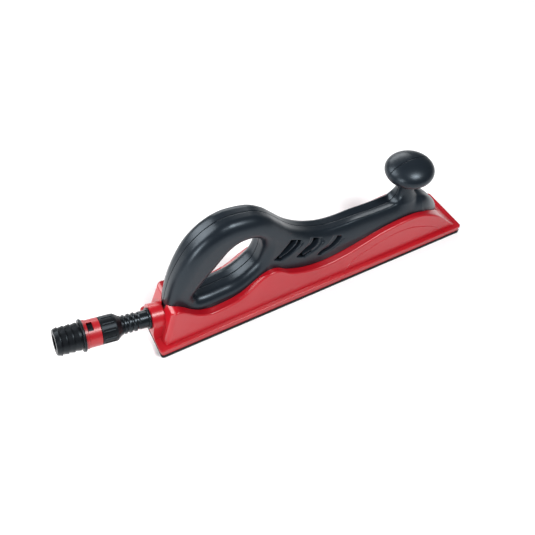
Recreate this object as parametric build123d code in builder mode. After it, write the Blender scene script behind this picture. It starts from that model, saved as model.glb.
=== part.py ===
"""Long hand sanding block with dust extraction: pad, plenum body, clamshell handle, swivel hose connector."""

from build123d import *
from math import copysign, cos, pi, radians, sin
import os

# Driving dimensions, mm. The sanding face is z = 0, +X points to the knob end, the hose leaves at -X.
LENGTH = 420.0
WIDTH = 70.0
CORNER_R = 4.0
HOOK_TOP = 1.4
PAD_TOP = 4.0
PLATE_TOP = 7.5
GASKET_TOP = 8.5
FLANGE_STEP = 9.5
FLANGE_TOP = 12.5
FLANGE_SETBACK = 1.0
WALL_FOOT = 29.8
WALL_DRAFT = 0.09
CAVITY_HALF = 26.2
ROOF = 3.2
HANDLE_HALF = 19.0
WALL = 3.2
FIT_GAP = 0.05
FREE_GAP = 0.3

# Dust holes through pad, hook face and plate.
DUST_R = 5.0
DUST_PITCH = 56.0
DUST_ROW_Y = 17.5
DUST_PER_ROW = 7

# Hose connector: axis start, tilt above the horizontal, and the radii along it.
HOSE_START = (-210.0, 0.0, 35.34)
HOSE_TILT = 12.66
JOURNAL_R = 10.5
TAIL_BORE_R = 8.0
SLEEVE_R = 14.0
SLEEVE_END = -23.0
BOSS_FACE = -2.8
COLLAR_R = 12.2
RIB_AT = (14.4, 20.1, 25.8)
RING_IN_R = 13.5
CUFF_BORE_R = 8.75
RING_START = 53.3
RING_END = 70.0
WINDOW_AT = 63.6
WINDOW_LONG = 6.2
WINDOW_ROUND = 11.0
# Turn of the ring's window and of the port below it, from the left side towards the top.
WINDOW_TURN = 81.0
PORT_TURN = WINDOW_TURN + 90.0

# Top edge of the side walls, from the rear ears to the front foot.
BODY_TOP = [
    (-191, 51), (-186, 56), (-180.5, 57.8), (-175, 56.2), (-164.3, 47), (-152.7, 38.7),
    (-140.9, 34.8), (-129.9, 34.9), (-117.8, 36.2), (-103.7, 39.7), (-88.2, 49), (-74.9, 57.2),
    (-64.7, 60), (-55.8, 58.4), (-45.2, 50.5), (-29.5, 42.9), (-10.8, 37.8), (7.2, 36.6), (25.3, 38.1),
    (43.4, 41.8), (62.7, 46.7), (86.9, 52.6), (109.1, 55.5), (123.1, 56.6), (137.1, 55.8),
    (158.7, 48.5), (176.2, 37.3), (191, 23), (203, FLANGE_TOP),
]
# Underside of the handle where it beds into the body.
HANDLE_FOOT = [
    (-196, 43), (-178, 44), (-165, 42.5), (-150, 36.6), (-137, 33.6), (-123, 34), (-107, 37), (-92, 44),
    (-78, 52), (-66, 56), (-56, 54.5), (-46, 49), (-33, 43), (-16, 38), (0, 35.9), (18, 36.3),
    (43, 40.5), (67, 46.5), (93, 52.2), (114, 54.7), (127, 55.2), (143, 52.6), (158, 47.5), (170, 40.1),
    (180, 32.4), (192, 20.9),
]
# Grip loop: outer point, inner point and half width of each cross-section, rear foot to front leg.
LOOP = [
    ((-190.5, 42), (-157, 37), 11.0),
    ((-187, 61), (-153.5, 60), 15.0),
    ((-176.5, 88), (-141, 78), 17.4),
    ((-163, 111), (-128, 92), 18.0),
    ((-145, 132.5), (-118, 102.5), 18.0),
    ((-122, 145.7), (-107.5, 113), 18.0),
    ((-102, 148.6), (-95, 117.4), 18.0),
    ((-81, 145.3), (-82.5, 116), 18.0),
    ((-62, 134.5), (-73, 108.5), 17.8),
    ((-47, 119), (-70.5, 98), 17.6),
    ((-38, 108), (-70.5, 84), 17.0),
]
GRIP_POWER = 2.3
GRIP_STEPS = 16
# Bar: x, top height and half width of each cross-section, from the leg of the loop to the toe.
BAR = [
    (-66, 104, 16.5), (-56, 110, 17.5), (-46, 109, 18.2), (-36, 102.5, 18.6), (-19, 92, 19),
    (-3, 83.6, 19), (14, 78, 19), (34, 75.3, 19), (55, 74.2, 19), (80, 72.5, 19), (103, 72.2, 19),
    (125, 74, 19), (143, 73.5, 18.6), (156, 69.2, 17.4), (168, 58.6, 15.2), (179, 45.5, 11.6),
    (188, 31.5, 5.5),
]
KNOB_X = 129.2
KNOB_Z = 115.4
KNOB_R = 29.2
KNOB_HALF_H = 15.7
STEM_R = 11.6
KNOB_WALL = 3.0

CLAMP_POINTS = [(-168, 76), (-138, 110), (-92, 132), (-50, 90), (10, 62), (84, 64), (152, 60), (129, 92)]
HANDLE_SCREW_X = (-128.0, -20.0, 62.0, 108.0)
HANDLE_SCREW_Y = 9.0
PLATE_SCREW_X = (-162.0, -84.0, 0.0, 84.0, 162.0)


def height(points, x):
    """Height of a side profile at x, by straight runs between its points."""
    for (x0, z0), (x1, z1) in zip(points, points[1:]):
        if x0 <= x <= x1:
            return z0 + (z1 - z0) * (x - x0) / (x1 - x0)
    return points[-1][1]


def slab(part_length, part_width, corner, low, high):
    """Rounded rectangular slab centred on the origin."""
    with BuildPart() as solid:
        with BuildSketch(Plane.XY.offset(low)):
            RectangleRounded(part_length, part_width, corner)
        extrude(amount=high - low)
    return solid.part


def rods(points, radius, low, high):
    """Upright rods at x, y points."""
    with BuildPart() as solid:
        with BuildSketch(Plane.XY.offset(low)):
            with Locations(*points):
                Circle(radius)
        extrude(amount=high - low)
    return solid.part


def cross_rod(x, z, radius, start, end):
    """Rod along Y at x, z."""
    with BuildPart() as solid:
        with BuildSketch(Plane(origin=(x, start, z), x_dir=(1, 0, 0), z_dir=(0, 1, 0))):
            Circle(radius)
        extrude(amount=end - start)
    return solid.part


AXIS_DIR = Vector(-cos(radians(HOSE_TILT)), 0, sin(radians(HOSE_TILT)))
UP_DIR = Vector(sin(radians(HOSE_TILT)), 0, cos(radians(HOSE_TILT)))
HOSE_AXIS = Axis(HOSE_START, tuple(AXIS_DIR))


def hose_plane(s):
    """Plane square to the hose axis, s along it from its start. Its local Y points up."""
    return Plane(origin=Vector(*HOSE_START) + AXIS_DIR * s, x_dir=(0, -1, 0), z_dir=tuple(AXIS_DIR))


def turned(outline):
    """Solid of revolution about the hose axis from an outline of radius and s."""
    with BuildPart() as solid:
        with BuildSketch(Plane(origin=HOSE_START, x_dir=(0, 1, 0), z_dir=tuple(UP_DIR))):
            with BuildLine():
                Polyline(*outline, close=True)
            make_face()
        revolve(axis=HOSE_AXIS)
    return solid.part


def ring(radius, thick, s):
    """Round-section ring about the hose axis."""
    with BuildPart() as solid:
        with BuildSketch(Plane(origin=HOSE_START, x_dir=(0, 1, 0), z_dir=tuple(UP_DIR))):
            with Locations((radius, s)):
                Circle(thick / 2)
        revolve(axis=HOSE_AXIS)
    return solid.part


# --- Pad -----------------------------------------------------------------------------------------------
DUST_POINTS = [
    (DUST_PITCH * (i - (DUST_PER_ROW - 1) / 2), side * DUST_ROW_Y)
    for side in (-1, 1)
    for i in range(DUST_PER_ROW)
]

with BuildPart() as hook_face:
    add(slab(LENGTH, WIDTH, CORNER_R, 0, HOOK_TOP))
    add(rods(DUST_POINTS, DUST_R, 0, HOOK_TOP), mode=Mode.SUBTRACT)

with BuildPart() as foam_pad:
    add(slab(LENGTH, WIDTH, CORNER_R, HOOK_TOP, PAD_TOP))
    add(rods(DUST_POINTS, DUST_R, HOOK_TOP, PAD_TOP), mode=Mode.SUBTRACT)

# --- Sole plate, its gasket and screws -----------------------------------------------------------------
PLATE_LENGTH = LENGTH - 8
PLATE_WIDTH = WIDTH - 8
GASKET_BAND = 3.0
SCREW_POINTS = [(x, 0) for x in PLATE_SCREW_X]
SCREW_R = 2.0
HEAD_R = 4.0
HEAD_H = 2.2
INSERT_R = 3.0
INSERT_TOP = 17.5


def countersunk(points, low):
    """Countersunk screws that stand upright, heads down."""
    with BuildPart() as solid:
        with Locations(*[(x, y, low + HEAD_H / 2) for x, y in points]):
            Cone(HEAD_R, SCREW_R, HEAD_H)
    return solid.part


with BuildPart() as base_plate:
    add(slab(PLATE_LENGTH, PLATE_WIDTH, CORNER_R, PAD_TOP, PLATE_TOP))
    add(rods(DUST_POINTS, DUST_R, PAD_TOP, PLATE_TOP), mode=Mode.SUBTRACT)
    add(rods(SCREW_POINTS, SCREW_R, PAD_TOP, PLATE_TOP), mode=Mode.SUBTRACT)
    add(countersunk(SCREW_POINTS, PAD_TOP), mode=Mode.SUBTRACT)

with BuildPart() as plenum_gasket:
    add(slab(PLATE_LENGTH - 2, PLATE_WIDTH - 2, CORNER_R, PLATE_TOP, GASKET_TOP))
    add(
        slab(
            PLATE_LENGTH - 2 - 2 * GASKET_BAND, PLATE_WIDTH - 2 - 2 * GASKET_BAND, CORNER_R,
            PLATE_TOP, GASKET_TOP,
        ),
        mode=Mode.SUBTRACT,
    )

SOCKET_R = 1.2
SOCKET_DEPTH = 1.3

with BuildPart() as base_screws:
    add(countersunk(SCREW_POINTS, PAD_TOP))
    add(rods(SCREW_POINTS, SCREW_R, PAD_TOP + HEAD_H, INSERT_TOP))
    with BuildSketch(Plane.XY.offset(PAD_TOP)):
        with Locations(*SCREW_POINTS):
            RegularPolygon(SOCKET_R, 6)
    extrude(amount=SOCKET_DEPTH, mode=Mode.SUBTRACT)

with BuildPart() as base_inserts:
    add(rods(SCREW_POINTS, INSERT_R, GASKET_TOP, INSERT_TOP))
    add(rods(SCREW_POINTS, SCREW_R, GASKET_TOP, INSERT_TOP), mode=Mode.SUBTRACT)

# --- Handle envelope -----------------------------------------------------------------------------------


def oval(a, b):
    """Points round a slightly squared oval."""
    points = []
    for i in range(GRIP_STEPS):
        c, s = cos(2 * pi * i / GRIP_STEPS), sin(2 * pi * i / GRIP_STEPS)
        points.append((
            a * copysign(abs(c) ** (2 / GRIP_POWER), c),
            b * copysign(abs(s) ** (2 / GRIP_POWER), s),
        ))
    return points


def grip_loft(inset):
    """Rounded grip that arches from the rear foot to the front leg."""
    with BuildPart() as solid:
        for (xo, zo), (xi, zi), half in LOOP:
            reach = Vector(xo - xi, 0, zo - zi)
            centre = ((xo + xi) / 2, 0, (zo + zi) / 2)
            normal = Vector(0, -1, 0).cross(reach)
            with BuildSketch(Plane(origin=centre, x_dir=tuple(reach), z_dir=tuple(normal))):
                points = oval(reach.length / 2 - inset, half - inset)
                middle = GRIP_STEPS // 2
                with BuildLine():
                    Spline(*points[:middle + 1], tangents=((0, 1), (0, -1)))
                    Spline(*points[middle:], points[0], tangents=((0, -1), (0, 1)))
                make_face()
        loft()
    return solid.part


def bar_loft(inset, stations):
    """Loaf-shaped bar from the leg of the loop to the toe, flat on top with rounded flanks."""
    with BuildPart() as solid:
        for x, top, half in stations:
            base = height(HANDLE_FOOT, x) - 4 + 2 * inset
            crown = top - inset
            wide = half - inset
            rise = crown - base
            with BuildSketch(Plane(origin=(x, 0, 0), x_dir=(0, 1, 0), z_dir=(1, 0, 0))):
                with BuildLine():
                    Line((-wide, base), (wide, base))
                    Spline((wide, base), (0.95 * wide, base + 0.5 * rise), (0.78 * wide, base + 0.82 * rise),
                           (0.45 * wide, crown - 0.01 * rise), tangents=((0, 1), (-1, 0.0)))
                    Line((0.45 * wide, crown - 0.01 * rise), (-0.45 * wide, crown - 0.01 * rise))
                    Spline((-0.45 * wide, crown - 0.01 * rise), (-0.78 * wide, base + 0.82 * rise),
                           (-0.95 * wide, base + 0.5 * rise), (-wide, base), tangents=((-1, 0.0), (0, -1)))
                make_face()
        loft()
    return solid.part


def knob_turned(inset):
    """Flattened ball knob on its flared stem."""
    with BuildPart() as solid:
        with BuildSketch(Plane.XZ):
            with BuildLine():
                Line((0, 64), (0, KNOB_HALF_H + KNOB_Z - inset))
                EllipticalCenterArc(
                    (0, KNOB_Z), KNOB_R - inset, KNOB_HALF_H - inset, start_angle=-54, arc_size=144,
                )
                Spline(
                    ((KNOB_R - inset) * cos(radians(54)), KNOB_Z - (KNOB_HALF_H - inset) * sin(radians(54))),
                    (STEM_R - inset, 92), (STEM_R + 1.2 - inset, 79), (STEM_R + 6 - inset, 64),
                )
                Line((STEM_R + 6 - inset, 64), (0, 64))
            make_face()
        revolve(axis=Axis.Z)
    return Pos(KNOB_X, 0, 0) * solid.part


def foot_region(drop):
    """Everything above the underside of the handle, lowered by drop."""
    with BuildPart() as solid:
        with BuildSketch(Plane.XZ):
            with BuildLine():
                Spline(*[(x, z - drop) for x, z in HANDLE_FOOT])
                Polyline(
                    (HANDLE_FOOT[-1][0], HANDLE_FOOT[-1][1] - drop), (230, 21 - drop),
                    (230, 170), (-230, 170),
                    (-230, 46 - drop), (HANDLE_FOOT[0][0], HANDLE_FOOT[0][1] - drop),
                )
            make_face()
        extrude(amount=60, both=True)
    return solid.part


SADDLE = [(-160, 49), (-144, 52.2), (-121, 52.4), (-110, 53), (-98, 57), (-86, 65), (-77, 74), (-66, 88)]


def saddle_loft():
    """Bridge below the finger loop, crowned across."""
    with BuildPart() as solid:
        for x, top in SADDLE:
            base = height(HANDLE_FOOT, x) - 4
            with BuildSketch(Plane(origin=(x, 0, 0), x_dir=(0, 1, 0), z_dir=(1, 0, 0))):
                with BuildLine():
                    Line((-HANDLE_HALF, base), (HANDLE_HALF, base))
                    Line((HANDLE_HALF, base), (HANDLE_HALF, top - 10))
                    Spline((HANDLE_HALF, top - 10), (0.86 * HANDLE_HALF, top - 5), (0, top),
                           (-0.86 * HANDLE_HALF, top - 5), (-HANDLE_HALF, top - 10))
                    Line((-HANDLE_HALF, top - 10), (-HANDLE_HALF, base))
                make_face()
        loft(ruled=True)
    return solid.part


with BuildPart() as envelope:
    add(grip_loft(0))
    add(bar_loft(0, BAR))
    add(saddle_loft())
    add(knob_turned(0))
    add(foot_region(0), mode=Mode.INTERSECT)


# --- Body ----------------------------------------------------------------------------------------------
REAR_FOOT = (-202.0, FLANGE_TOP)
CAVITY_REAR = [(-187.8, 41), (-199.0, GASKET_TOP)]
EDGE_ROUND = 2.0
REAR_LEAN = 0.364
BLOCK_TOP = 80.0
REAR_ROUND = 6.0
LIP_ROUND = 1.3
PILLAR_R = 5.5
SEAT_R = 6.5
BOSS_LIMIT_X = 0.3 - LENGTH / 2
SEAT_DROP = 7.0
CLIP_ROOM_R = 13.2


def wall_block():
    """Drafted block with round rear corners, whose top follows the wave of the side walls."""
    head = WALL_FOOT - WALL_DRAFT * (BLOCK_TOP - FLANGE_TOP)
    with BuildPart() as solid:
        with BuildSketch(Plane.YZ):
            Polygon(
                (-WALL_FOOT, FLANGE_STEP), (WALL_FOOT, FLANGE_STEP), (WALL_FOOT, FLANGE_TOP),
                (head, BLOCK_TOP),
                (-head, BLOCK_TOP), (-WALL_FOOT, FLANGE_TOP), align=None,
            )
        extrude(amount=LENGTH / 2, both=True)
        with BuildSketch(Plane.XZ):
            with BuildLine():
                Polyline(
                    (REAR_FOOT[0] + REAR_LEAN * (FLANGE_STEP - FLANGE_TOP), FLANGE_STEP),
                    (REAR_FOOT[0] + REAR_LEAN * (BLOCK_TOP - FLANGE_TOP), BLOCK_TOP),
                    (LENGTH / 2, BLOCK_TOP), (LENGTH / 2, FLANGE_STEP), close=True,
                )
            make_face()
        extrude(amount=WIDTH, both=True, mode=Mode.INTERSECT)
        rear_corners = [
            e for e in solid.edges()
            if e.center().X < -180 and abs(e.center().Y) > 20 and e.bounding_box().size.Z > 40
        ]
        fillet(rear_corners, REAR_ROUND)
        with BuildSketch(Plane.XZ):
            with BuildLine():
                Spline(*BODY_TOP)
                Polyline(
                    BODY_TOP[-1], (BODY_TOP[-1][0], FLANGE_STEP), (-LENGTH / 2, FLANGE_STEP),
                    (-LENGTH / 2, BODY_TOP[0][1]), BODY_TOP[0],
                )
            make_face()
        extrude(amount=WIDTH, both=True, mode=Mode.INTERSECT)
        top_edges = [
            e for e in solid.edges()
            if e.center().Z > FLANGE_TOP + 3 and (
                e.bounding_box().size.X > 60 or (e.center().X < -175 and e.bounding_box().size.Z < 8)
            )
        ]
        fillet(top_edges, EDGE_ROUND)
    return solid.part


def hose_boss():
    """Round-topped boss square to the hose axis."""
    with BuildPart() as solid:
        with BuildSketch(hose_plane(BOSS_FACE)):
            Circle(16)
            with Locations((0, -16)):
                Rectangle(32, 32)
        extrude(amount=-14)
        with Locations((BOSS_LIMIT_X + 30, 0, FLANGE_TOP + 25)):
            Box(60, 60, 50 + 2, mode=Mode.INTERSECT)
    return solid.part


def plenum():
    """Dust space under the roof."""
    with BuildPart() as solid:
        with BuildSketch(Plane.XZ):
            with BuildLine():
                Polyline(
                    *[(x, z - ROOF) for x, z in HANDLE_FOOT[1:]],
                    (197, GASKET_TOP), CAVITY_REAR[1], CAVITY_REAR[0],
                    (HANDLE_FOOT[1][0], HANDLE_FOOT[1][1] - ROOF),
                )
            make_face()
        extrude(amount=CAVITY_HALF, both=True)
        head = CAVITY_HALF - WALL_DRAFT * (BLOCK_TOP - GASKET_TOP)
        with BuildSketch(Plane.YZ):
            Polygon(
                (-CAVITY_HALF, GASKET_TOP), (CAVITY_HALF, GASKET_TOP), (head, BLOCK_TOP), (-head, BLOCK_TOP),
                align=None,
            )
        extrude(amount=LENGTH / 2, both=True, mode=Mode.INTERSECT)
    return solid.part


HANDLE_SCREWS = [(x, side * HANDLE_SCREW_Y) for x in HANDLE_SCREW_X for side in (-1, 1)]

with BuildPart() as body_shell:
    add(slab(LENGTH - 2 * FLANGE_SETBACK, WIDTH - 2 * FLANGE_SETBACK, CORNER_R - 1, PAD_TOP, FLANGE_STEP))
    with BuildSketch(Plane.XY.offset(FLANGE_STEP)):
        RectangleRounded(LENGTH, WIDTH, CORNER_R)
    extrude(amount=FLANGE_TOP - FLANGE_STEP)
    fillet(body_shell.edges().filter_by(lambda e: abs(e.center().Z - FLANGE_TOP) < 0.01), LIP_ROUND)
    add(wall_block())
    add(hose_boss())
    add(plenum(), mode=Mode.SUBTRACT)
    add(slab(PLATE_LENGTH + 0.4, PLATE_WIDTH + 0.4, CORNER_R, PAD_TOP - 1, GASKET_TOP), mode=Mode.SUBTRACT)
    add(turned([(0, SLEEVE_END), (SLEEVE_R, SLEEVE_END), (SLEEVE_R, -8), (0, -8)]))
    for x, y in SCREW_POINTS:
        add(rods([(x, y)], PILLAR_R, GASKET_TOP, height(HANDLE_FOOT, x) - ROOF / 2))
    for x, y in HANDLE_SCREWS:
        foot = height(HANDLE_FOOT, x)
        add(rods([(x, y)], SEAT_R, foot - SEAT_DROP, foot - ROOF / 2))
    add(envelope.part, mode=Mode.SUBTRACT)
    add(rods(SCREW_POINTS, INSERT_R, GASKET_TOP, INSERT_TOP), mode=Mode.SUBTRACT)
    for x, y in HANDLE_SCREWS:
        foot = height(HANDLE_FOOT, x)
        add(rods([(x, y)], SCREW_R + 0.2, foot - SEAT_DROP, foot + 4), mode=Mode.SUBTRACT)
    add(
        turned([
            (0, SLEEVE_END - 1), (JOURNAL_R + FIT_GAP, SLEEVE_END - 1), (JOURNAL_R + FIT_GAP, BOSS_FACE + 4),
            (0, BOSS_FACE + 4),
        ]),
        mode=Mode.SUBTRACT,
    )
    add(
        turned([
            (0, SLEEVE_END - 6), (CLIP_ROOM_R, SLEEVE_END - 6), (CLIP_ROOM_R, SLEEVE_END), (0, SLEEVE_END),
        ]),
        mode=Mode.SUBTRACT,
    )

# --- Handle halves -------------------------------------------------------------------------------------
CLAMP_BOSS_R = 4.2
CLAMP_R = 1.5
CLAMP_HEAD_R = 3.0
CLAMP_SEAT = 8.0
CLAMP_TIP = -9.0
BOSS_REACH = 17.0
HANDLE_BOSS_R = 5.2
HANDLE_BOSS_H = 13.0
HANDLE_INSERT_R = 3.2
HANDLE_INSERT_H = 9.0
HALF_SPACE = 120.0
# Slanted pockets in each flank: outline in x, z, then how far from y = 0 the pocket's floor lies.
POCKETS = [
    ([(-38.5, 94.5), (-24.5, 86.5), (-47.5, 67.5), (-59, 74)], 14.2),
    ([(-11, 80), (4, 73), (-17, 57), (-30.5, 63)], 15.2),
    ([(20, 68.5), (30.5, 65), (4.5, 48.5), (-1.5, 52)], 16.4),
]
POCKET_ROUND = 2.0
POCKET_BACK = 3.0


def pocket_blocks(inner, outer, grow):
    """Prisms on both flanks behind or through the pockets."""
    with BuildPart() as solid:
        for outline, floor in POCKETS:
            for side in (-1, 1):
                start = (0, side * (floor + inner), 0)
                with BuildSketch(Plane(origin=start, x_dir=(1, 0, 0), z_dir=(0, -1, 0))):
                    with BuildLine():
                        Polyline(*outline, close=True)
                    make_face()
                    fillet(vertices(), POCKET_ROUND)
                    if grow:
                        offset(amount=grow)
                extrude(amount=-side * (outer - inner))
    return solid.part


with BuildPart() as handle_void:
    add(grip_loft(WALL))
    add(bar_loft(WALL, BAR[:-2]))
    add(knob_turned(KNOB_WALL))
    add(foot_region(-WALL), mode=Mode.INTERSECT)

with BuildPart() as handle_solid:
    add(envelope.part)
    add(handle_void.part, mode=Mode.SUBTRACT)
    for x, z in CLAMP_POINTS:
        add(cross_rod(x, z, CLAMP_BOSS_R, -BOSS_REACH, BOSS_REACH))
    for x, y in HANDLE_SCREWS:
        foot = height(HANDLE_FOOT, x)
        add(rods([(x, y)], HANDLE_BOSS_R, foot - 3, foot + HANDLE_BOSS_H))
    add(pocket_blocks(-POCKET_BACK, 2, POCKET_BACK))
    add(envelope.part, mode=Mode.INTERSECT)
    add(pocket_blocks(0, 12, 0), mode=Mode.SUBTRACT)
    for x, z in CLAMP_POINTS:
        add(cross_rod(x, z, CLAMP_R, CLAMP_TIP, 30), mode=Mode.SUBTRACT)
        add(cross_rod(x, z, CLAMP_HEAD_R, CLAMP_SEAT, 30), mode=Mode.SUBTRACT)
    for x, y in HANDLE_SCREWS:
        foot = height(HANDLE_FOOT, x)
        add(rods([(x, y)], HANDLE_INSERT_R, foot - 3, foot + HANDLE_INSERT_H), mode=Mode.SUBTRACT)


def handle_half(side):
    """One clamshell half, cut at y = 0."""
    with BuildPart() as solid:
        add(handle_solid.part)
        with Locations((0, side * HALF_SPACE / 2, 80)):
            Box(500, HALF_SPACE, 400, mode=Mode.INTERSECT)
    return solid.part


with BuildPart() as handle_left:
    add(handle_half(-1))

with BuildPart() as handle_right:
    add(handle_half(1))

with BuildPart() as clamshell_screws:
    for x, z in CLAMP_POINTS:
        add(cross_rod(x, z, CLAMP_R, CLAMP_TIP, CLAMP_SEAT))
        add(cross_rod(x, z, CLAMP_HEAD_R - 0.2, CLAMP_SEAT, CLAMP_SEAT + 2))
        with BuildSketch(Plane(origin=(x, CLAMP_SEAT + 2, z), x_dir=(1, 0, 0), z_dir=(0, 1, 0))):
            Rectangle(3, 0.8)
            Rectangle(0.8, 3)
        extrude(amount=-1, mode=Mode.SUBTRACT)

with BuildPart() as handle_screws:
    for x, y in HANDLE_SCREWS:
        foot = height(HANDLE_FOOT, x)
        seat = foot - SEAT_DROP
        add(rods([(x, y)], HEAD_R - 0.4, seat - 2.6, seat))
        add(rods([(x, y)], SCREW_R, seat, foot + HANDLE_INSERT_H - 0.5))
        with BuildSketch(Plane.XY.offset(seat - 2.6)):
            with Locations((x, y)):
                RegularPolygon(SOCKET_R, 6)
        extrude(amount=SOCKET_DEPTH, mode=Mode.SUBTRACT)

with BuildPart() as handle_inserts:
    for x, y in HANDLE_SCREWS:
        foot = height(HANDLE_FOOT, x)
        add(rods([(x, y)], HANDLE_INSERT_R, foot + 2.5, foot + HANDLE_INSERT_H))
        add(rods([(x, y)], SCREW_R, foot + 2.5, foot + HANDLE_INSERT_H), mode=Mode.SUBTRACT)

# --- Hose connector ------------------------------------------------------------------------------------
CLIP_S = (-24.6, -23.3)
SEAL_S = -11.3
SEAL_THICK = 1.3
TUBE_R = 10.0
ROOT_R = 9.3
RIB_R = 10.7
FLANGE_R = 12.6
SPIGOT_R = 11.4
LUG_R = 13.5
CHANNEL_R = 13.9
DISC_R = 18.0
DISC_END = 73.0
CUFF_EDGES = (75.4, 82.0, 88.5, 94.8)
CUFF_END = 100.0
CUFF_EDGE_R = 15.4
CUFF_DIP_R = 14.2
REG_SEALS = (55.8, 68.4)
REG_SEAL_THICK = 1.2
RING_OUT_R = 15.5
RING_STEP_R = 16.2
RING_STEP = 3.4

rib_outline = [
    point
    for s in RIB_AT
    for point in ((ROOT_R, s - 2.3), (RIB_R, s - 0.9), (RIB_R, s + 0.9), (ROOT_R, s + 2.3))
]


def window_plane(turn):
    """Plane on the hose axis below the window, facing out at a turn from the left side to the top."""
    out = Vector(0, -1, 0) * cos(radians(turn)) + UP_DIR * sin(radians(turn))
    return Plane(origin=Vector(*HOSE_START) + AXIS_DIR * WINDOW_AT, x_dir=tuple(AXIS_DIR), z_dir=tuple(out))


with BuildPart() as hose_tail:
    add(turned([
        (TAIL_BORE_R, -27), (JOURNAL_R - 0.6, -27), (JOURNAL_R, -26.4),
        (JOURNAL_R, CLIP_S[0]), (JOURNAL_R - 1.1, CLIP_S[0]),
        (JOURNAL_R - 1.1, CLIP_S[1]), (JOURNAL_R, CLIP_S[1]),
        (JOURNAL_R, SEAL_S - 0.9), (JOURNAL_R - SEAL_THICK, SEAL_S - 0.9),
        (JOURNAL_R - SEAL_THICK, SEAL_S + 0.9), (JOURNAL_R, SEAL_S + 0.9),
        (JOURNAL_R, -2.5), (COLLAR_R, -2.5), (COLLAR_R, -0.5), (COLLAR_R - 0.5, 0),
        (TUBE_R, 0), (TUBE_R, 9), (ROOT_R, 10.4), *rib_outline,
        (ROOT_R, 36.5), (FLANGE_R, 36.5), (FLANGE_R, 39.5), (TAIL_BORE_R, 39.5),
    ]))

with BuildPart() as tail_seal:
    add(ring(JOURNAL_R - SEAL_THICK / 2, SEAL_THICK, SEAL_S))

with BuildPart() as tail_clip:
    add(turned([
        (JOURNAL_R - 1.1, CLIP_S[0]), (JOURNAL_R + 2.1, CLIP_S[0]), (JOURNAL_R + 2.1, CLIP_S[1]),
        (JOURNAL_R - 1.1, CLIP_S[1]),
    ]))
    with BuildSketch(hose_plane(CLIP_S[0])):
        with Locations((0, -JOURNAL_R - 0.5)):
            Rectangle(4, 6)
    extrude(amount=CLIP_S[1] - CLIP_S[0], mode=Mode.SUBTRACT)

with BuildPart() as grip_nut:
    add(turned([
        (ROOT_R + FREE_GAP, 29), (10.6, 29), (11.1, 29.5), (11.1, 30.4), (15.2, 36), (15.4, 37), (15.4, 52.4),
        (14.8, 53), (SPIGOT_R + FREE_GAP, 53), (SPIGOT_R + FREE_GAP, 50), (CHANNEL_R, 50), (CHANNEL_R, 44),
        (FLANGE_R + FREE_GAP, 44), (FLANGE_R + FREE_GAP, 36.2), (ROOT_R + FREE_GAP, 36.2),
    ]))
    with BuildSketch(hose_plane(38.3)):
        with PolarLocations(16.7, 12, start_angle=15):
            Circle(2.3)
    extrude(amount=12.4, mode=Mode.SUBTRACT)
    with BuildSketch(hose_plane(49.9)):
        with PolarLocations(11.5, 3, start_angle=60):
            Rectangle(6, 10)
        Circle(CHANNEL_R - 0.1, mode=Mode.INTERSECT)
    extrude(amount=3.2, mode=Mode.SUBTRACT)

with BuildPart() as union_seal:
    add(turned([
        (TAIL_BORE_R + 0.4, 39.5), (FLANGE_R - 0.2, 39.5), (FLANGE_R - 0.2, 41), (TAIL_BORE_R + 0.4, 41),
    ]))

cuff_outline = [
    point
    for s, end in zip(CUFF_EDGES, (*CUFF_EDGES[1:], CUFF_END))
    for point in ((CUFF_EDGE_R, s), (CUFF_EDGE_R, s + 0.8), (CUFF_DIP_R, end))
]

with BuildPart() as connector_body:
    add(turned([
        (CUFF_BORE_R, 41), (SPIGOT_R, 41), (SPIGOT_R, RING_START), (RING_IN_R, RING_START),
        *[
            point
            for s in REG_SEALS
            for point in (
                (RING_IN_R, s - 0.8), (RING_IN_R - REG_SEAL_THICK, s - 0.8),
                (RING_IN_R - REG_SEAL_THICK, s + 0.8), (RING_IN_R, s + 0.8),
            )
        ],
        (RING_IN_R, RING_END + FREE_GAP), (DISC_R - 0.6, RING_END + FREE_GAP),
        (DISC_R, RING_END + FREE_GAP + 0.6), (DISC_R, DISC_END - 0.6), (DISC_R - 0.6, DISC_END),
        (CUFF_DIP_R, DISC_END), (CUFF_DIP_R, CUFF_EDGES[0]), *cuff_outline[:-1],
        (CUFF_DIP_R, CUFF_END - 0.8), (CUFF_DIP_R - 0.8, CUFF_END), (CUFF_BORE_R, CUFF_END),
    ]))
    with BuildSketch(hose_plane(46.5)):
        with PolarLocations(11.7, 3):
            Rectangle(4.5, 8)
        Circle(LUG_R, mode=Mode.INTERSECT)
        Circle(CUFF_BORE_R + 1, mode=Mode.SUBTRACT)
    extrude(amount=3.1)
    with BuildSketch(window_plane(PORT_TURN)):
        RectangleRounded(WINDOW_LONG - 1, WINDOW_ROUND - 1.5, 1)
    extrude(amount=20, mode=Mode.SUBTRACT)

with BuildPart() as regulator_seals:
    for s in REG_SEALS:
        add(ring(RING_IN_R - REG_SEAL_THICK / 2, REG_SEAL_THICK, s))

with BuildPart() as regulator_ring:
    add(turned([
        (RING_IN_R + FIT_GAP, RING_START), (RING_OUT_R, RING_START), (RING_OUT_R, RING_END - RING_STEP),
        (RING_STEP_R, RING_END - RING_STEP + 0.5), (RING_STEP_R, RING_END), (RING_IN_R + FIT_GAP, RING_END),
    ]))
    with BuildSketch(window_plane(WINDOW_TURN)):
        RectangleRounded(WINDOW_LONG, WINDOW_ROUND, 1.2)
    extrude(amount=20, mode=Mode.SUBTRACT)

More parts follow.
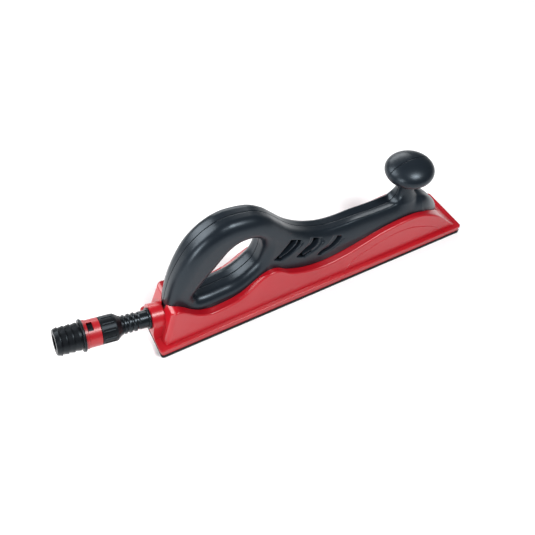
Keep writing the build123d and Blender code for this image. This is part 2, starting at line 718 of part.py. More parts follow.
# --- Export --------------------------------------------------------------------------------------------
PIECES = {
    "hook_face": hook_face, "foam_pad": foam_pad, "base_plate": base_plate, "plenum_gasket": plenum_gasket,
    "base_screws": base_screws, "base_inserts": base_inserts, "body_shell": body_shell,
    "handle_left": handle_left, "handle_right": handle_right, "clamshell_screws": clamshell_screws,
    "handle_screws": handle_screws, "handle_inserts": handle_inserts, "hose_tail": hose_tail,
    "tail_seal": tail_seal, "tail_clip": tail_clip, "grip_nut": grip_nut, "union_seal": union_seal,
    "connector_body": connector_body, "regulator_seals": regulator_seals, "regulator_ring": regulator_ring,
}

os.makedirs("parts", exist_ok=True)
for name, piece in PIECES.items():
    piece.part.label = name
    export_step(piece.part, f"parts/{name}.step")
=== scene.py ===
"""Looks of the long hand sanding block: moulded handle skins, pad, materials, studio and camera."""

import math

import bmesh
import bpy
import numpy as np
import openvdb
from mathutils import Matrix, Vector


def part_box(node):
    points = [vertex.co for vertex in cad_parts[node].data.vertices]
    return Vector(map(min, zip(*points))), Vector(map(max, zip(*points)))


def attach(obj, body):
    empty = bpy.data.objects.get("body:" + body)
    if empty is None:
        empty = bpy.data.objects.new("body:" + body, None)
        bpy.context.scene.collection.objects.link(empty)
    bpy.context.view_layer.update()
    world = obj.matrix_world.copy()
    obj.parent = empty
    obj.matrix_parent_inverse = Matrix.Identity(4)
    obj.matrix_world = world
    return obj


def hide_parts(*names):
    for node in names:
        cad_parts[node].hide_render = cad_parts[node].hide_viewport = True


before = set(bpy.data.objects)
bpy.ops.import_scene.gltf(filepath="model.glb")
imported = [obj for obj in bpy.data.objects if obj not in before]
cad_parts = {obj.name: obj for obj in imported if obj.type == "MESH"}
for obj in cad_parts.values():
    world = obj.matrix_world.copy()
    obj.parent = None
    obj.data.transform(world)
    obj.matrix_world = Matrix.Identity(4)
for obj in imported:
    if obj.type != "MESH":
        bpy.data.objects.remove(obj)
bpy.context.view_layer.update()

MM = 0.001

# --- Shape tools, all in millimetres -------------------------------------------------------------------


def smooth_curve(points, closed=False, steps=8):
    """Catmull-Rom curve through points, as an array of points."""
    pts = np.array(points, float)
    if closed:
        pts = np.vstack([pts[-1], pts, pts[0], pts[1]])
    else:
        pts = np.vstack([2 * pts[0] - pts[1], pts, 2 * pts[-1] - pts[-2]])
    t = np.linspace(0, 1, steps, endpoint=False)[:, None]
    out = []
    for a, b, c, d in zip(pts, pts[1:], pts[2:], pts[3:]):
        square, cube = 2 * a - 5 * b + 4 * c - d, 3 * b - a - 3 * c + d
        out.append(0.5 * (2 * b + (c - a) * t + square * t**2 + cube * t**3))
    curve = np.vstack(out)
    return curve if closed else np.vstack([curve, pts[-2]])


def outline_distance(x, z, outline):
    """Signed distance from x, z to a closed outline, negative inside."""
    best = np.full(x.shape, 1e9)
    inside = np.zeros(x.shape, bool)
    for (ax, az), (bx, bz) in zip(outline, np.roll(outline, -1, axis=0)):
        ex, ez = bx - ax, bz - az
        span = ex * ex + ez * ez
        if span < 1e-9:
            continue
        t = np.clip(((x - ax) * ex + (z - az) * ez) / span, 0, 1)
        best = np.minimum(best, (x - ax - t * ex) ** 2 + (z - az - t * ez) ** 2)
        if az != bz:
            crosses = ((az > z) != (bz > z)) & (x < ex * (z - az) / ez + ax)
            inside ^= crosses
    return np.where(inside, -1, 1) * np.sqrt(best)


def rounded(d, e, rd, re, power=2.0):
    """Where two surfaces meet, d and e being distances to them: an edge rounded by rd and re."""
    p = np.maximum(d + rd, 0) / rd
    q = np.maximum(e + re, 0) / re
    return ((p**power + q**power) ** (1 / power) - 1) * np.minimum(rd, re)


def melt(a, b, k):
    """Smooth union over a blend of about k."""
    h = np.clip(0.5 + 0.5 * (b - a) / k, 0, 1)
    return b + (a - b) * h - k * h * (1 - h)


def melt_cut(a, b, k):
    """a with b smoothly taken away."""
    return -melt(-a, b, k)


SMOOTHING_PASSES = 2


def mesh_from_field(name, field, low, pitch):
    """Mesh object of the zero surface of a field sampled from low at pitch."""
    band = 4 * pitch
    grid = openvdb.FloatGrid(band)
    grid.copyFromArray(np.clip(field, -band, band).astype(np.float32))
    points, quads = grid.convertToQuads(0.0)
    mesh = bpy.data.meshes.new(name)
    mesh.from_pydata((points * pitch + np.array(low)) * MM, [], quads[:, ::-1].tolist())
    piece = bpy.data.objects.new(name, mesh)
    bpy.context.scene.collection.objects.link(piece)
    bm = bmesh.new()
    bm.from_mesh(mesh)
    for _ in range(SMOOTHING_PASSES):
        bmesh.ops.smooth_vert(
            bm, verts=bm.verts, factor=0.5, use_axis_x=True, use_axis_y=True, use_axis_z=True,
        )
    bm.to_mesh(mesh)
    bm.free()
    return piece


# --- Handle --------------------------------------------------------------------------------------------

HANDLE_HALF = 19.0
PITCH = 0.7
# Grid around the +Y half of the handle, a little past the seam.
GRID_LOW = np.array([-198.0, -3 * PITCH, 18.0])
GRID_HIGH = np.array([196.0, 31.5, 153.0])
# Seam line of the two halves as x, z: up the tail, over the loop, along the bar and down the toe. It's
# closed at the height CREST_BASE.
CREST_BASE = 10
CREST = [
    (-189.8, 41), (-189.6, 47), (-189, 52.5), (-187.6, 58.5), (-184.8, 66), (-175, 90.8),
    (-163, 111.2), (-150, 127.8), (-136, 139), (-122.5, 145.5), (-112, 148), (-102, 148.6),
    (-86, 146.2), (-73, 141.8), (-60, 132.5), (-48.5, 120), (-38, 108), (-28, 98.8), (-16, 90.3),
    (-3, 83.6), (14, 78), (34, 75.3), (55, 74), (77, 72.2), (100, 72), (120, 73.5), (136, 74),
    (147, 72.8), (156, 69.2), (166, 61.4), (177, 49.6), (185, 38.6), (189.2, 31), (190, 27), (190, 22),
]
# Outline of the finger opening as x, z.
HOLE = [
    (-152, 53.5), (-154.2, 58), (-152.8, 64.5), (-141, 78.5), (-128.5, 91.5), (-118.5, 102.2),
    (-108, 112), (-96, 117.2), (-82, 115.6), (-72.5, 107.5), (-69.6, 98), (-71, 88), (-77, 73.7),
    (-86, 65), (-98, 57.5), (-110, 53.6), (-121, 52.6), (-140, 51.8),
]
# Knob, and the stem that flares below FLARE_TOP. The blend into the bar is tighter towards the toe.
KNOB_X, KNOB_Z, KNOB_R, KNOB_HALF_H = 129.2, 115.4, 29.2, 15.7
KNOB_BLEND = 3.0
STEM_R, STEM_FOOT = 10.6, 62
STEM_FLARE, FLARE_TOP, FLARE_TALL, FLARE_MOST = 1.6, 92, 14, 1.3
STEM_BLEND, STEM_BLEND_DROP, STEM_BLEND_HALF = 10.0, 5.5, 15
# Where the shape changes along the handle: the bar and the toe by x, the tail by x and by z, each as start
# and length.
BAR_FROM, BAR_OVER = -25, 60
TOE_FROM, TOE_OVER = 138, 26
TAIL_FROM, TAIL_OVER = -125, 30
TAIL_TOP, TAIL_TALL = 96, 50
# Rounding of the crown across and down the handle, and what the bar, the toe and the tail change in it.
CROWN_ACROSS, CROWN_DOWN, CROWN_POWER = 12.5, 15.5, 2.1
BAR_ACROSS, BAR_DOWN, BAR_POWER = 2.5, 7.5, 0.6
TOE_DOWN = 8.0
TAIL_ACROSS, TAIL_DOWN = 0.45, 0.5
# Rounding of the rim of the finger opening, and of the edge along the body.
OPENING_ACROSS, OPENING_IN = 12.0, 12.5
FOOT_ROUND = 1.2
# Shallow trough along the bar behind the knob: middle, half length, depth and where it reaches full depth.
TROUGH_X, TROUGH_HALF, TROUGH_DEEP, TROUGH_Y = 86, 40, 2.0, 9.0
# Ribs in the pockets: bead radius, and how deep the beads and the band between them lie in the pocket.
BEAD_R, BEAD_SHARE, BAND_SHARE = 0.85, 0.05, 0.5
# A pocket's floor rises away from the rib by POCKET_SLOPE of its depth over POCKET_RUN.
POCKET_SLOPE, POCKET_RUN = 0.75, 13
RIB_BLEND, POCKET_BLEND = 0.4, 0.7
FLANK_FROM, POCKET_MARGIN = 8, 3
# Seam between the halves: bevel, half the gap, how deep the groove is and how far the rim is rounded back.
SEAM_BEVEL, SEAM_GAP, SEAM_GROOVE, SEAM_EASE = 0.9 * MM, 0.36 * MM, 2.2 * MM, 0.12 * MM
SEAM_FLOOR = 0.01 * MM
# Underside of the handle, as it beds into the body.
FOOT = [
    (-196, 43.6), (-178, 44.6), (-165, 43.1), (-150, 37.2), (-137, 34.2), (-123, 34.6),
    (-107, 37.6), (-92, 44.6), (-78, 52.6), (-66, 56.6), (-56, 55.1), (-46, 49.6), (-33, 43.6),
    (-16, 38.6), (0, 36.5), (18, 36.9), (43, 41.1), (67, 47.1), (93, 52.8), (114, 55.3),
    (127, 55.8), (143, 53.2), (158, 48.1), (170, 40.7), (180, 33), (192, 21.5),
]
# Half width seen from above, as x and half width.
PLAN = [
    (-190, 1), (-189.6, 5.4), (-188, 9), (-185, 12.2), (-180, 14.9), (-172, 17), (-160, 18.5),
    (-145, HANDLE_HALF), (-60, HANDLE_HALF), (136, HANDLE_HALF), (150, 18.6), (162, 16.8),
    (172, 14.1), (180, 11), (186, 8.2), (191.5, 5), (195.5, 0.6),
]
# Slanted pockets: outline in x and z, depth below the flank, and the two edges of the curved rib in each.
POCKETS = [
    (
        [(-38.5, 95.5), (-24, 87), (-22, 82.5), (-27, 78), (-38, 71), (-48.5, 66.5), (-60, 73.5), (-52, 80)],
        2.8,
        [[(-52.5, 73.6), (-42, 78), (-34.6, 83.5), (-30, 89), (-28.5, 93)],
         [(-48.2, 67.4), (-37.2, 71.6), (-28.6, 78.2), (-23.4, 85), (-22, 88)]],
    ),
    (
        [(-10.5, 82), (5, 74), (7.6, 69.2), (2, 65), (-8, 59.6), (-18, 56.4), (-31, 63), (-21, 71)],
        2.4,
        [[(-21.5, 62.2), (-10.4, 65.9), (-2.6, 70.6), (1.6, 75.6)],
         [(-17.8, 57.2), (-7, 60.6), (2, 66.2), (7, 72.4)]],
    ),
    (
        [(21, 69), (31.6, 65), (35, 60.4), (28, 55.6), (18, 50.4), (5, 47.2), (-2.4, 52), (6, 58.4)],
        1.7,
        [[(4, 48.6), (16, 52.4), (25.6, 57.6), (32.6, 62.8)],
         [(6, 47.6), (17.2, 50.4), (27.4, 55.8), (34.6, 61.6)]],
    ),
]


def height_on(points, x):
    """Height at x of a side curve given as x, z points."""
    return np.interp(x, *smooth_curve(points).T)


def ease(t):
    """0 to 1 with soft ends."""
    t = np.clip(t, 0, 1)
    return t * t * (3 - 2 * t)


def path_distance(x, z, path):
    """Distance from x, z to an open path."""
    best = np.full(x.shape, 1e9)
    for (ax, az), (bx, bz) in zip(path, path[1:]):
        ex, ez = bx - ax, bz - az
        t = np.clip(((x - ax) * ex + (z - az) * ez) / (ex * ex + ez * ez), 0, 1)
        best = np.minimum(best, np.hypot(x - ax - t * ex, z - az - t * ez))
    return best


def crown_field(x, y, z, side):
    """Field of the loop, bar and toe, side being the distance to the outline seen from above."""
    flat_x, flat_z = x[:, 0, :], z[:, 0, :]
    crest = smooth_curve(CREST)
    below = np.vstack([crest, [crest[-1][0], CREST_BASE], [crest[0][0], CREST_BASE]])
    d_crest = outline_distance(flat_x, flat_z, below)[:, None, :]
    d_hole = outline_distance(flat_x, flat_z, smooth_curve(HOLE, closed=True))[:, None, :]
    # The crown is a broad oval over the loop, ridged on the tail and creased along the bar.
    on_bar = ease((x - BAR_FROM) / BAR_OVER)
    on_tail = ease((TAIL_TOP - z) / TAIL_TALL) * ease((TAIL_FROM - x) / TAIL_OVER)
    on_toe = ease((x - TOE_FROM) / TOE_OVER)
    across = (CROWN_ACROSS - BAR_ACROSS * on_bar) * (1 - TAIL_ACROSS * on_tail)
    down = (CROWN_DOWN + BAR_DOWN * on_bar - TOE_DOWN * on_toe) * (1 - TAIL_DOWN * on_tail)
    power = CROWN_POWER - BAR_POWER * on_bar * (1 - on_toe)
    along = np.exp(-(((x - TROUGH_X) / TROUGH_HALF) ** 4))
    trough = TROUGH_DEEP * along * np.minimum(y / TROUGH_Y, 1) ** 2
    body = rounded(d_crest - trough, side, down, across, power)
    opening = rounded(-d_hole, side, OPENING_IN, OPENING_ACROSS, CROWN_POWER)
    field = np.maximum(body, opening)
    foot = height_on(FOOT, x[:, 0, 0])[:, None, None]
    return np.maximum(field, rounded(foot - z, side, FOOT_ROUND, FOOT_ROUND))


def add_knob(field, x, y, z):
    """Field with the knob on its waisted stem, which sweeps into the bar behind it."""
    radial = np.sqrt((x - KNOB_X) ** 2 + y**2)
    k0 = np.sqrt((radial / KNOB_R) ** 2 + ((z - KNOB_Z) / KNOB_HALF_H) ** 2) + 1e-6
    k1 = np.sqrt((radial / KNOB_R**2) ** 2 + ((z - KNOB_Z) / KNOB_HALF_H**2) ** 2) + 1e-6
    ball = k0 * (k0 - 1) / k1
    waist = STEM_R + STEM_FLARE * np.clip((FLARE_TOP - z) / FLARE_TALL, 0, FLARE_MOST) ** 2
    stem = np.maximum(radial - waist, np.maximum(z - KNOB_Z, STEM_FOOT - z))
    towards_toe = ease((x - KNOB_X + STEM_BLEND_HALF) / (2 * STEM_BLEND_HALF))
    field = melt(field, stem, STEM_BLEND - STEM_BLEND_DROP * towards_toe)
    return melt(field, ball, KNOB_BLEND)


def cut_pockets(field, x, y, z):
    """Field with the pockets, each with a curved rib that carries a bead along both edges."""
    flat_x, flat_z = x[:, 0, :], z[:, 0, :]
    shell = field
    for outline, depth, (upper, lower) in POCKETS:
        edge = outline_distance(flat_x, flat_z, np.array(outline, float))[:, None, :]
        upper, lower = smooth_curve(upper), smooth_curve(lower)
        band = outline_distance(flat_x, flat_z, np.vstack([upper, lower[::-1]]))[:, None, :]
        reach = path_distance(flat_x, flat_z, upper)
        beads = np.minimum(reach, path_distance(flat_x, flat_z, lower))[:, None, :]
        sunk = depth * (1 - POCKET_SLOPE * ease(reach[:, None, :] / POCKET_RUN))
        hollow = np.maximum(edge, -(shell + sunk))
        hollow = melt_cut(hollow, np.maximum(band, shell + BAND_SHARE * depth), RIB_BLEND)
        hollow = np.maximum(hollow, -np.maximum(beads - BEAD_R, shell + BEAD_SHARE * depth))
        near = (y > FLANK_FROM) & (edge < POCKET_MARGIN)
        field = np.where(near, melt_cut(field, hollow, POCKET_BLEND), field)
    return field


def handle_field():
    """Field of the whole handle on the +Y side of the seam."""
    xs, ys, zs = (np.arange(GRID_LOW[i], GRID_HIGH[i] + PITCH, PITCH) for i in range(3))
    flat_x, flat_z = np.meshgrid(xs, zs, indexing="ij")
    x, z = flat_x[:, None, :], flat_z[:, None, :]
    y = np.abs(ys)[None, :, None]
    plan = smooth_curve(PLAN)
    plan_x, plan_y = np.meshgrid(xs, ys, indexing="ij")
    seen_from_above = np.vstack([plan, (plan * (1, -1))[::-1]])
    side = outline_distance(plan_x, plan_y, seen_from_above)[:, :, None]
    return cut_pockets(add_knob(crown_field(x, y, z, side), x, y, z), x, y, z)


def handle_skin(name, side):
    """One half of the handle, with its mating rim stepped back so that the seam reads as a fine dark line."""
    piece = mesh_from_field(name, FIELD, GRID_LOW, PITCH)
    mesh = piece.data
    bm = bmesh.new()
    bm.from_mesh(mesh)
    if bm.calc_volume(signed=True) < 0:
        bmesh.ops.reverse_faces(bm, faces=bm.faces)
    for level in (SEAM_BEVEL, SEAM_GAP):
        bmesh.ops.bisect_plane(
            bm, geom=bm.verts[:] + bm.edges[:] + bm.faces[:], plane_co=(0, level, 0), plane_no=(0, -1, 0),
            clear_outer=level == SEAM_GAP,
        )
    bm.normal_update()
    rim = {v: Vector((v.normal.x, 0, v.normal.z)).normalized() for v in bm.verts if v.is_boundary}
    edges = [e for e in bm.edges if e.is_boundary]
    made = bmesh.ops.extrude_edge_only(bm, edges=edges)["geom"]
    low_verts = [g for g in made if isinstance(g, bmesh.types.BMVert)]
    place = {tuple(v.co): n for v, n in rim.items()}
    inward = {v: place[tuple(v.co)] for v in low_verts}
    for v, n in rim.items():
        v.co -= n * SEAM_EASE
    for v, n in inward.items():
        v.co -= n * SEAM_GROOVE
    edges = [g for g in made if isinstance(g, bmesh.types.BMEdge)]
    made = bmesh.ops.extrude_edge_only(bm, edges=edges)["geom"]
    for g in made:
        if isinstance(g, bmesh.types.BMVert):
            g.co.y = SEAM_FLOOR
    edges = [g for g in made if isinstance(g, bmesh.types.BMEdge)]
    bmesh.ops.triangle_fill(bm, edges=edges, normal=(0, -1, 0))
    bmesh.ops.recalc_face_normals(bm, faces=bm.faces)
    if side < 0:
        for v in bm.verts:
            v.co.y = -v.co.y
        bmesh.ops.reverse_faces(bm, faces=bm.faces)
    bm.to_mesh(mesh)
    bm.free()
    mesh.shade_smooth()
    mesh.set_sharp_from_angle(angle=math.radians(50))
    return piece


FIELD = handle_field()
skin_left = handle_skin("handle_left_skin", -1)
skin_right = handle_skin("handle_right_skin", 1)
for skin, node in ((skin_left, "handle_left"), (skin_right, "handle_right")):
    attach(skin, "block")
    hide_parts(node)

# --- Sanding pad ---------------------------------------------------------------------------------------

PAD_LENGTH, PAD_WIDTH, PAD_CORNER = 420.0, 70.0, 4.0
# Dust holes: two rows of seven.
HOLE_R, HOLE_PITCH, HOLE_ROW = 5.0, 56.0, 17.5
HOLES_PER_ROW, HOLE_SIDES = 7, 28
CORNER_STEPS, EDGE_STEP = 8, 3


def pad_slab(name, rings, lumps):
    """Slab with dust holes whose rim follows rings of (z, how far in from the edge), slightly uneven."""
    outer = []
    for cx, cy, start in ((1, 1, 0), (-1, 1, 90), (-1, -1, 180), (1, -1, 270)):
        for step in range(CORNER_STEPS + 1):
            angle = math.radians(start + 90 * step / CORNER_STEPS)
            outer.append((
                cx * (PAD_LENGTH / 2 - PAD_CORNER) + PAD_CORNER * math.cos(angle),
                cy * (PAD_WIDTH / 2 - PAD_CORNER) + PAD_CORNER * math.sin(angle),
            ))
    dense = []
    for (ax, ay), (bx, by) in zip(outer, outer[1:] + outer[:1]):
        pieces = max(1, int(math.hypot(bx - ax, by - ay) / EDGE_STEP))
        dense += [(ax + (bx - ax) * k / pieces, ay + (by - ay) * k / pieces) for k in range(pieces)]
    loops = [dense]
    for column in range(HOLES_PER_ROW):
        for row in (-1, 1):
            cx, cy = HOLE_PITCH * (column - HOLES_PER_ROW // 2), row * HOLE_ROW
            angles = [math.tau * k / HOLE_SIDES for k in range(HOLE_SIDES)]
            loops.append([(cx + HOLE_R * math.cos(a), cy + HOLE_R * math.sin(a)) for a in angles])
    rng = np.random.default_rng(lumps)
    bm = bmesh.new()
    caps = {0: [], len(rings) - 1: []}
    for loop in loops:
        count = len(loop)
        wave = np.convolve(np.tile(rng.normal(0, 0.05, count), 3), np.ones(5) / 5, "same")[count:2 * count]
        rows = []
        for level, (z, inset) in enumerate(rings):
            row = []
            for k, (px, py) in enumerate(loop):
                (ax, ay), (bx, by) = loop[k - 1], loop[(k + 1) % count]
                nx, ny = by - ay, ax - bx
                size = math.hypot(nx, ny)
                shift = inset + abs(wave[k]) * (0 < level < len(rings) - 1)
                row.append(bm.verts.new((
                    (px - nx / size * shift) * MM, (py - ny / size * shift) * MM, z * MM,
                )))
            rows.append(row)
        for lower, upper in zip(rows, rows[1:]):
            for k in range(count):
                bm.faces.new((lower[k - 1], lower[k], upper[k], upper[k - 1]))
        for level in caps:
            caps[level] += [bm.edges.get((rows[level][k - 1], rows[level][k])) for k in range(count)]
    for edges in caps.values():
        bmesh.ops.triangle_fill(bm, edges=edges, use_beauty=True)
    bmesh.ops.recalc_face_normals(bm, faces=bm.faces)
    mesh = bpy.data.meshes.new(name)
    bm.to_mesh(mesh)
    bm.free()
    mesh.shade_smooth()
    mesh.set_sharp_from_angle(angle=math.radians(40))
    piece = bpy.data.objects.new(name, mesh)
    bpy.context.scene.collection.objects.link(piece)
    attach(piece, "block")
    return piece


foam_rings = [(1.42, 0.55), (1.6, 0.2), (2.0, 0.02), (2.7, 0.0), (3.4, 0.02), (3.8, 0.2), (3.98, 0.5)]
foam_skin = pad_slab("foam_pad_skin", foam_rings, 11)
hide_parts("foam_pad")
hook_rings = [(0.0, 0.5), (0.25, 0.12), (0.7, 0.05), (1.2, 0.12), (1.4, 0.4)]
hook_skin = pad_slab("hook_face_skin", hook_rings, 12)
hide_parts("hook_face")

# --- Materials -----------------------------------------------------------------------------------------


# Moulded surfaces: scale and detail of the slow drift and of the grain, spread of the gloss, bump height.
DRIFT_SCALE, DRIFT_DETAIL = 22.0, 4.0
GRAIN_DETAIL = 2.0
GLOSS_LESS, GLOSS_MORE = 0.05, 0.07
GRAIN_HEIGHT = 0.0004
COAT_ROUGH = 0.18


def plastic(
    name, colour, rough, coat=0.0, grain=900.0, grain_depth=0.06, drift=0.12, specular=0.5, tint=(1, 1, 1),
):
    """Moulded plastic: even colour with a slight drift, fine mould grain and uneven gloss."""
    material = bpy.data.materials.new(name)
    material.use_nodes = True
    nodes, links = material.node_tree.nodes, material.node_tree.links
    shader = nodes["Principled BSDF"]
    shader.inputs["Specular IOR Level"].default_value = specular
    shader.inputs["Specular Tint"].default_value = (*tint, 1)
    shader.inputs["Coat Weight"].default_value = coat
    shader.inputs["Coat Roughness"].default_value = COAT_ROUGH
    place = nodes.new("ShaderNodeTexCoord")
    cloud = nodes.new("ShaderNodeTexNoise")
    cloud.inputs["Scale"].default_value = DRIFT_SCALE
    cloud.inputs["Detail"].default_value = DRIFT_DETAIL
    links.new(place.outputs["Object"], cloud.inputs["Vector"])
    mix = nodes.new("ShaderNodeMix")
    mix.data_type = "RGBA"
    mix.inputs["A"].default_value = (*[c * (1 - drift) for c in colour], 1)
    mix.inputs["B"].default_value = (*[min(1, c * (1 + drift)) for c in colour], 1)
    links.new(cloud.outputs["Fac"], mix.inputs["Factor"])
    links.new(mix.outputs["Result"], shader.inputs["Base Color"])
    speck = nodes.new("ShaderNodeTexNoise")
    speck.inputs["Scale"].default_value = grain
    speck.inputs["Detail"].default_value = GRAIN_DETAIL
    links.new(place.outputs["Object"], speck.inputs["Vector"])
    gloss = nodes.new("ShaderNodeMapRange")
    gloss.inputs["To Min"].default_value = rough - GLOSS_LESS
    gloss.inputs["To Max"].default_value = rough + GLOSS_MORE
    links.new(cloud.outputs["Fac"], gloss.inputs["Value"])
    links.new(gloss.outputs["Result"], shader.inputs["Roughness"])
    bump = nodes.new("ShaderNodeBump")
    bump.inputs["Strength"].default_value = grain_depth
    bump.inputs["Distance"].default_value = GRAIN_HEIGHT
    links.new(speck.outputs["Fac"], bump.inputs["Height"])
    links.new(bump.outputs["Normal"], shader.inputs["Normal"])
    return material


def paint(name, material):
    """Gives a CAD node or a piece one material on every slot."""
    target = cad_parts.get(name) or bpy.data.objects[name]
    if not target.data.materials:
        target.data.materials.append(material)
    for slot in target.material_slots:
        slot.material = material


# The black plastics have a slightly blue gloss.
COOL_GLOSS = (0.76, 0.89, 1.0)
red = plastic("red_plastic", (0.385, 0.004, 0.011), 0.30, coat=0.15, grain=700.0)
charcoal = plastic(
    "handle_plastic", (0.0065, 0.0095, 0.0135), 0.31, grain=1500.0, grain_depth=0.1, specular=0.36,
    tint=COOL_GLOSS,
)
fitting = plastic(
    "fitting_plastic", (0.0035, 0.004, 0.005), 0.36, grain=1200.0, specular=0.22, tint=COOL_GLOSS,
)
rubber = plastic("hose_rubber", (0.005, 0.0065, 0.008), 0.27, grain=600.0, specular=0.3, tint=COOL_GLOSS)
ring_red = plastic("ring_plastic", (0.33, 0.004, 0.009), 0.34, coat=0.1)
foam = plastic("pad_foam", (0.012, 0.012, 0.013), 0.85, grain=1500.0, grain_depth=0.7, specular=0.2)
hooks = plastic("hook_fabric", (0.035, 0.036, 0.038), 0.7, grain=1800.0, grain_depth=1.0, specular=0.25)
steel = plastic("screw_steel", (0.55, 0.55, 0.57), 0.3, grain=500.0)
steel.node_tree.nodes["Principled BSDF"].inputs["Metallic"].default_value = 1.0
brass = plastic("insert_brass", (0.75, 0.52, 0.22), 0.32)
brass.node_tree.nodes["Principled BSDF"].inputs["Metallic"].default_value = 1.0


# Arched crease in the side walls: its line as x, z in millimetres, the box that the curve fills, how far
# from y = 0 the walls start, and the height and softness of the step, in metres.
CREASE = [(30, 10), (35, 17), (51, 30), (70, 35.5), (92, 41), (119, 43), (148, 35), (168, 25), (180, 14)]
CREASE_START, CREASE_SPAN, CREASE_TALL = 0.030, 0.150, 0.050
WALL_NEAR = 0.0265
CREASE_DEPTH = 0.0011
CREASE_EDGE = (-0.0004, 0.0012)


def add_wall_crease(material):
    """Arched step moulded into both side walls near the front, as bump under the line CREASE."""
    nodes, links = material.node_tree.nodes, material.node_tree.links

    def math_node(operation, a, b=None):
        """Output of a maths node whose inputs are numbers or sockets."""
        node = nodes.new("ShaderNodeMath")
        node.operation = operation
        for socket, value in zip(node.inputs, (a, b)):
            if isinstance(value, (int, float)):
                socket.default_value = value
            elif value is not None:
                links.new(value, socket)
        return node.outputs[0]

    split = nodes.new("ShaderNodeSeparateXYZ")
    links.new(nodes["Texture Coordinate"].outputs["Object"], split.inputs[0])
    along = math_node("DIVIDE", math_node("SUBTRACT", split.outputs["X"], CREASE_START), CREASE_SPAN)
    arch = nodes.new("ShaderNodeFloatCurve")
    curve = arch.mapping.curves[0]
    while len(curve.points) < len(CREASE):
        curve.points.new(0.5, 0.5)
    for point, (x, z) in zip(curve.points, CREASE):
        point.location = ((x * MM - CREASE_START) / CREASE_SPAN, z * MM / CREASE_TALL)
    arch.mapping.update()
    links.new(along, arch.inputs["Value"])
    under = math_node("SUBTRACT", math_node("MULTIPLY", arch.outputs[0], CREASE_TALL), split.outputs["Z"])
    step = nodes.new("ShaderNodeMapRange")
    step.interpolation_type = "SMOOTHSTEP"
    step.inputs["From Min"].default_value, step.inputs["From Max"].default_value = CREASE_EDGE
    links.new(under, step.inputs["Value"])
    on_wall = math_node("GREATER_THAN", math_node("ABSOLUTE", split.outputs["Y"]), WALL_NEAR)
    inside = math_node("MULTIPLY", step.outputs[0], on_wall)
    crease = nodes.new("ShaderNodeBump")
    crease.inputs["Strength"].default_value = 1.0
    crease.inputs["Distance"].default_value = CREASE_DEPTH
    links.new(inside, crease.inputs["Height"])
    links.new(nodes["Bump"].outputs["Normal"], crease.inputs["Normal"])
    links.new(crease.outputs["Normal"], nodes["Principled BSDF"].inputs["Normal"])


add_wall_crease(red)

LOOKS = [
    (red, ["body_shell"]),
    (charcoal, ["handle_left", "handle_right", "handle_left_skin", "handle_right_skin"]),
    (fitting, ["base_plate", "grip_nut", "connector_body"]),
    (rubber, ["plenum_gasket", "hose_tail", "tail_seal", "union_seal", "regulator_seals"]),
    (ring_red, ["regulator_ring"]),
    (foam, ["foam_pad", "foam_pad_skin"]),
    (hooks, ["hook_face", "hook_face_skin"]),
    (steel, ["base_screws", "clamshell_screws", "handle_screws", "tail_clip"]),
    (brass, ["base_inserts", "handle_inserts"]),
]
for material, names in LOOKS:
    for name in names:
        paint(name, material)

# --- Studio --------------------------------------------------------------------------------------------
FLOOR_HALF, FLOOR_DROP = 30, 0.0002
FLOOR_WHITE = (0.95, 0.95, 0.95, 1)
SKY_COLOUR, SKY_STRENGTH = (0.82, 0.91, 1, 1), 0.16
# Softboxes: name, place, aim, size in metres and watts.
LAMPS = [
    ("main", (0.28, -0.58, 1.20), (0.05, 0.15, 0.03), (0.44, 0.36), 15),
    ("left", (-0.90, -0.45, 0.47), (0, 0, 0.08), (0.22, 0.42), 6),
    ("rear_left", (-0.90, 0.75, 0.95), (0, 0.05, 0.05), (0.9, 0.8), 20),
    ("back", (0.60, 1.75, 0.75), (0.1, 0.35, 0.0), (1.4, 0.7), 14),
]

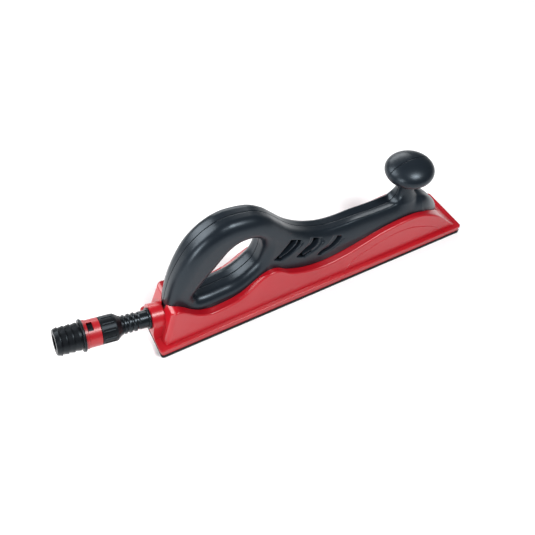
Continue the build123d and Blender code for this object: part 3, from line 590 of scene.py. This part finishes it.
scene = bpy.context.scene
floor_mesh = bpy.data.meshes.new("floor")
corners = [(FLOOR_HALF * x, FLOOR_HALF * y, 0) for x, y in ((-1, -1), (1, -1), (1, 1), (-1, 1))]
floor_mesh.from_pydata(corners, [], [(0, 1, 2, 3)])
floor = bpy.data.objects.new("floor", floor_mesh)
scene.collection.objects.link(floor)
floor.location.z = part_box("hook_face")[0].z - FLOOR_DROP
white = bpy.data.materials.new("floor_white")
white.use_nodes = True
matt = white.node_tree.nodes["Principled BSDF"]
matt.inputs["Base Color"].default_value = FLOOR_WHITE
matt.inputs["Roughness"].default_value = 1.0
matt.inputs["Specular IOR Level"].default_value = 0.0
floor_mesh.materials.append(white)

world = bpy.data.worlds.new("studio")
scene.world = world
world.use_nodes = True
sky = world.node_tree.nodes["Background"]
sky.inputs["Color"].default_value = SKY_COLOUR
sky.inputs["Strength"].default_value = SKY_STRENGTH
scene.view_settings.view_transform = "Standard"


def softbox(name, where, target, size, power):
    """Rectangular area lamp aimed at target."""
    lamp = bpy.data.lights.new(name, "AREA")
    lamp.shape = "RECTANGLE"
    lamp.size, lamp.size_y = size
    lamp.energy = power
    holder = bpy.data.objects.new(name, lamp)
    holder.location = where
    holder.rotation_euler = (Vector(target) - Vector(where)).to_track_quat("-Z", "Y").to_euler()
    scene.collection.objects.link(holder)


for lamp_row in LAMPS:
    softbox(*lamp_row)

# Camera at the photograph's viewing angle, looking at a point on the floor.
AZIMUTH, ELEVATION, DISTANCE = math.radians(-27.40), math.radians(51.12), 0.7627
TARGET = Vector((-0.04368, 0.02812, 0.0))
FOCAL_LENGTH, SENSOR_WIDTH = 40.6, 36.0
back = Vector((
    math.sin(AZIMUTH) * math.cos(ELEVATION), -math.cos(AZIMUTH) * math.cos(ELEVATION), math.sin(ELEVATION),
))
lens = bpy.data.cameras.new("camera")
lens.lens = FOCAL_LENGTH
lens.sensor_width = SENSOR_WIDTH
camera = bpy.data.objects.new("camera", lens)
camera.location = TARGET + back * DISTANCE
camera.rotation_euler = (-back).to_track_quat("-Z", "Y").to_euler()
scene.collection.objects.link(camera)
scene.camera = camera
